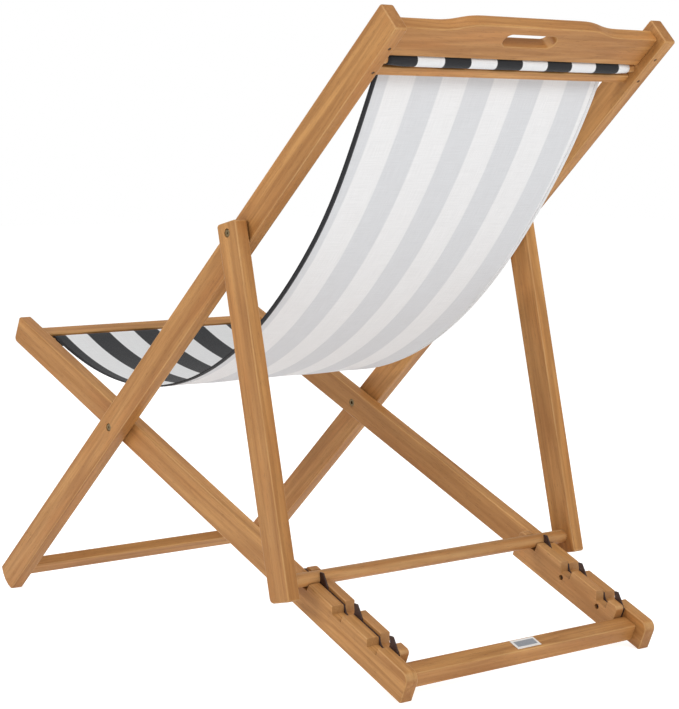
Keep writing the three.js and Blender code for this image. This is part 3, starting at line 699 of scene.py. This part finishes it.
class Sling:
    """The cloth's centre surface: where a point (step, side) lies and which way it faces.
    step counts along the centre line, side is -1..1 across the cloth."""

    def __init__(self):
        self.line, self.marks = sling_centre_line()
        lengths = np.linalg.norm(np.diff(self.line, axis=0), axis=1)
        self.run = np.concatenate(([0], np.cumsum(lengths)))
        ahead = np.gradient(self.line, axis=0)
        ahead /= np.linalg.norm(ahead, axis=1)[:, None]
        self.up = np.stack((-ahead[:, 1], ahead[:, 0]), 1)
        self.rod = middle_of("sling_top_rod")

        seat, guide, top = (self.run[self.marks[mark]] for mark in ("seat", "guide", "top"))
        self.climb = (self.run - seat) / (guide - seat)
        rolled = rising(self.run, guide, top)
        self.half = HALF_AT_SEAT + (HALF_AT_GUIDE - HALF_AT_SEAT) * rising(self.climb, WIDENS_FROM, 1)
        self.half += (HALF_AT_ROLL - HALF_AT_GUIDE) * rolled
        self.shift = ROLL_SHIFT * rolled
        self.slip = ROLL_SLIP * rolled
        self.seat_slip = SEAT_SLIP * (1 - rising(self.climb, 0, SEAT_SLIP_ENDS))
        self.lift = SEAT_LIFT * rising(self.climb, *LIFT_RISES) * (1 - rising(self.climb, *LIFT_FALLS))

    def point(self, step, side, offset=0.0):
        """offset is along the printed side's normal."""
        x = self.half[step] * side + self.shift[step]
        out = offset + self.lift[step] + self.ripple(step, x)
        spot = self.line[step] + self.up[step] * out
        if step >= self.marks["top"]:
            spot = self.gathered(step, side, spot)
        return (x, spot[0], spot[1])

    def gathered(self, step, side, spot):
        """Towards its ends the top roll is drawn in on the rod and puckers."""
        arm = spot - self.rod
        reach = np.linalg.norm(arm)
        loose = reach - GATHER_CORE
        drawn = 1 - rising(self.half[step] * (1 - abs(side)), 0, ROLL_GATHER)
        waves = math.sin(9 * math.atan2(arm[1], arm[0]) + 4 * side)
        pucker = 0.35 * MM * drawn * waves * loose / (3 * MM)
        return self.rod + arm / reach * (GATHER_CORE + loose * (1 - 0.75 * drawn) + pucker)

    def cloth_at(self, step, side):
        """The same point on the flat cloth: across it and along it."""
        near_hem = rising(side, *HEM_SLIP_SIDES)
        seat_slip = self.seat_slip[step] * (1 + HEM_SLIP / SEAT_SLIP * near_hem)
        across = self.half[step] * side + self.slip[step] + seat_slip
        return (across, self.run[step])

    def ripple(self, step, x):
        """Slack and tension: faint long waves, a little more where the cloth nears the guide rail,
        and edges that curl up."""
        climb = self.climb[step]
        if not 0 < climb < 1:
            return 0.0
        calm = math.sin(math.pi * climb) ** 0.7
        edge = abs(x) / HALF_AT_SEAT
        waves = 0.7 * math.sin(34 * x + 5 * climb) + 0.5 * math.sin(61 * x - 9 * climb + 1)
        pull = 1.1 * math.exp(-((climb - 0.9) / 0.09) ** 2) * math.sin(95 * x) * edge ** 2
        curl = 2.2 * max(0.0, edge - 0.93) / 0.07
        return (calm * (0.55 * waves + curl) + pull) * MM


def mesh_piece(name, vertices, faces, cloth, materials, slots=None):
    """cloth holds each vertex's place on the flat cloth, which its material reads."""
    data = bpy.data.meshes.new(name)
    data.from_pydata(vertices, [], faces)
    layer = data.uv_layers.new(name="cloth")
    for polygon, face in zip(data.polygons, faces):
        polygon.material_index = slots[polygon.index] if slots else 0
        for loop, corner in zip(polygon.loop_indices, face):
            layer.data[loop].uv = cloth[corner]
    for material in materials:
        data.materials.append(material)
    data.validate()
    data.shade_smooth()
    piece = bpy.data.objects.new(name, data)
    bpy.context.scene.collection.objects.link(piece)
    return piece


def weave_sling(sling, printed, plain_lit_through):
    """Two faces a cloth's thickness apart, joined all round."""
    rows, width = len(sling.line), SLING_COLUMNS + 1
    sides = [2 * column / SLING_COLUMNS - 1 for column in range(width)]
    vertices, cloth = [], []
    for offset in (HALF_CLOTH, -HALF_CLOTH):
        for step in range(rows):
            for side in sides:
                vertices.append(sling.point(step, side, offset))
                cloth.append(sling.cloth_at(step, side))
    rear = rows * width
    faces, slots = [], []
    for row in range(rows - 1):
        for column in range(SLING_COLUMNS):
            corner = row * width + column
            quad = (corner, corner + 1, corner + 1 + width, corner + width)
            faces += [quad, tuple(vertex + rear for vertex in reversed(quad))]
            slots += [0, 1]
    right_edge = [row * width for row in range(rows - 1, 0, -1)]
    front_end = list(range(SLING_COLUMNS))
    left_edge = [row * width + SLING_COLUMNS for row in range(rows - 1)]
    top_end = [(rows - 1) * width + column for column in range(SLING_COLUMNS, 0, -1)]
    rim = right_edge + front_end + left_edge + top_end
    for here, there in zip(rim, rim[1:] + rim[:1]):
        faces.append((there, here, here + rear, there + rear))
        slots.append(0)
    return mesh_piece("striped_sling", vertices, faces, cloth, [printed, plain_lit_through], slots)


def hem_profile():
    """(across, offset) round a folded edge: a flat strip behind the cloth with a rounded outer fold."""
    fold = HALF_CLOTH + HEM_THICKNESS / 2
    rear = -HALF_CLOTH - HEM_THICKNESS
    profile = [(-HEM_WIDTH, -HALF_CLOTH - 0.1 * MM), (-HEM_WIDTH, rear)]
    profile.append((1 * MM - HEM_WIDTH, rear - 0.1 * MM))
    for step in range(HEM_FOLD_STEPS + 1):
        around = fold * heading(math.pi * (step / HEM_FOLD_STEPS - 0.5))
        profile.append((0.9 * around[0], around[1] - HEM_THICKNESS / 2 + 0.05 * MM))
    profile.append((-1.5 * MM, HALF_CLOTH - 0.2 * MM))
    return profile


def fold_hem(sling, sign, name, printed):
    """The long edge folded to the rear, on the sitter's left (sign 1) or right (-1)."""
    profile = hem_profile()
    first, last = sling.marks["seat"], sling.marks["guide"] + GUIDE_STEPS
    vertices, cloth = [], []
    for step in range(first, last):
        edge = sling.half[step]
        for across, offset in profile:
            vertices.append(sling.point(step, sign * (edge + across) / edge, offset))
            cloth.append((sign * (edge + across), sling.run[step]))
    width, rows = len(profile), last - first
    faces = []
    for row in range(rows - 1):
        for corner in range(width):
            here = row * width + corner
            there = row * width + (corner + 1) % width
            faces.append((here, here + width, there + width, there))
    faces += [tuple(range(width)), tuple(reversed(range((rows - 1) * width, rows * width)))]
    if sign < 0:
        faces = [face[::-1] for face in faces]
    return mesh_piece(name, vertices, faces, cloth, [printed])


def stitch_line(sling, sign, name, thread):
    """A row of short raised stitches on both faces, just inside the hem's folded edge."""
    first, last = sling.marks["seat"] + 1, sling.marks["guide"] - 1
    across = Vector((1, 0, 0))
    vertices, faces = [], []
    for run in np.arange(sling.run[first], sling.run[last], STITCH_PITCH):
        for offset in (HALF_CLOTH + STITCH_LIFT, -HALF_CLOTH - HEM_THICKNESS - STITCH_LIFT):
            base = len(vertices)
            for share, size in STITCH_RINGS:
                here = run + STITCH_LENGTH * share
                step = int(np.searchsorted(sling.run, here))
                part = (here - sling.run[step - 1]) / (sling.run[step] - sling.run[step - 1])
                side = sign * (1 - (HEM_WIDTH - STITCH_FROM_HEM) / sling.half[step])
                low, high = (Vector(sling.point(near, side, offset)) for near in (step - 1, step))
                centre, up = low.lerp(high, part), Vector((0, *sling.up[step]))
                for corner in range(STITCH_SIDES):
                    angle = 2 * math.pi * corner / STITCH_SIDES
                    spoke = math.cos(angle) * across + math.sin(angle) * up
                    vertices.append(centre + size * STITCH_RADIUS * spoke)
            for ring in range(len(STITCH_RINGS) - 1):
                start = base + ring * STITCH_SIDES
                for corner in range(STITCH_SIDES):
                    a, b = start + corner, start + (corner + 1) % STITCH_SIDES
                    faces.append((a, b, b + STITCH_SIDES, a + STITCH_SIDES))
            faces.append(tuple(base + corner for corner in reversed(range(STITCH_SIDES))))
            faces.append(tuple(range(len(vertices) - STITCH_SIDES, len(vertices))))
    return mesh_piece(name, vertices, faces, [(0, 0)] * len(vertices), [thread])


def hang_sling():
    sling = Sling()
    printed = cloth_finish("striped_canvas_face", CLOTH_DARK, CLOTH_WHITE, 0.5 * MM)
    # the back face has painted light passing through the cloth: brighter white with faint stripe shade
    plain_lit_through = cloth_finish("striped_canvas_back_lit_through", CLOTH_SHOW_THROUGH_SHADE, CLOTH_BACK_LIT_THROUGH, 1.4 * MM)
    cloth = weave_sling(sling, printed, plain_lit_through)
    trims = [
        fold_hem(sling, 1, "sling_hem_left", printed),
        fold_hem(sling, -1, "sling_hem_right", printed),
        stitch_line(sling, 1, "sling_stitches_left", thread_finish("dark_thread", DARK_THREAD)),
        stitch_line(sling, -1, "sling_stitches_right", thread_finish("white_thread", WHITE_THREAD)),
    ]
    for piece in [cloth] + trims:
        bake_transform(piece)
    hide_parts("sling")


place_camera()
GROUPS = {
    "grain": make_grain(),
    "wear_and_highlight": make_edge_wear_and_highlight(),
    "ends": make_end_grain(),
    "scuffs": make_scuffs(),
    "weave": make_weave(),
    "stripes": make_stripes(),
}
hang_lamps()
set_backdrop()
lay_floor()
finish_woodwork()
finish_hardware()
finish_label()
hang_sling()
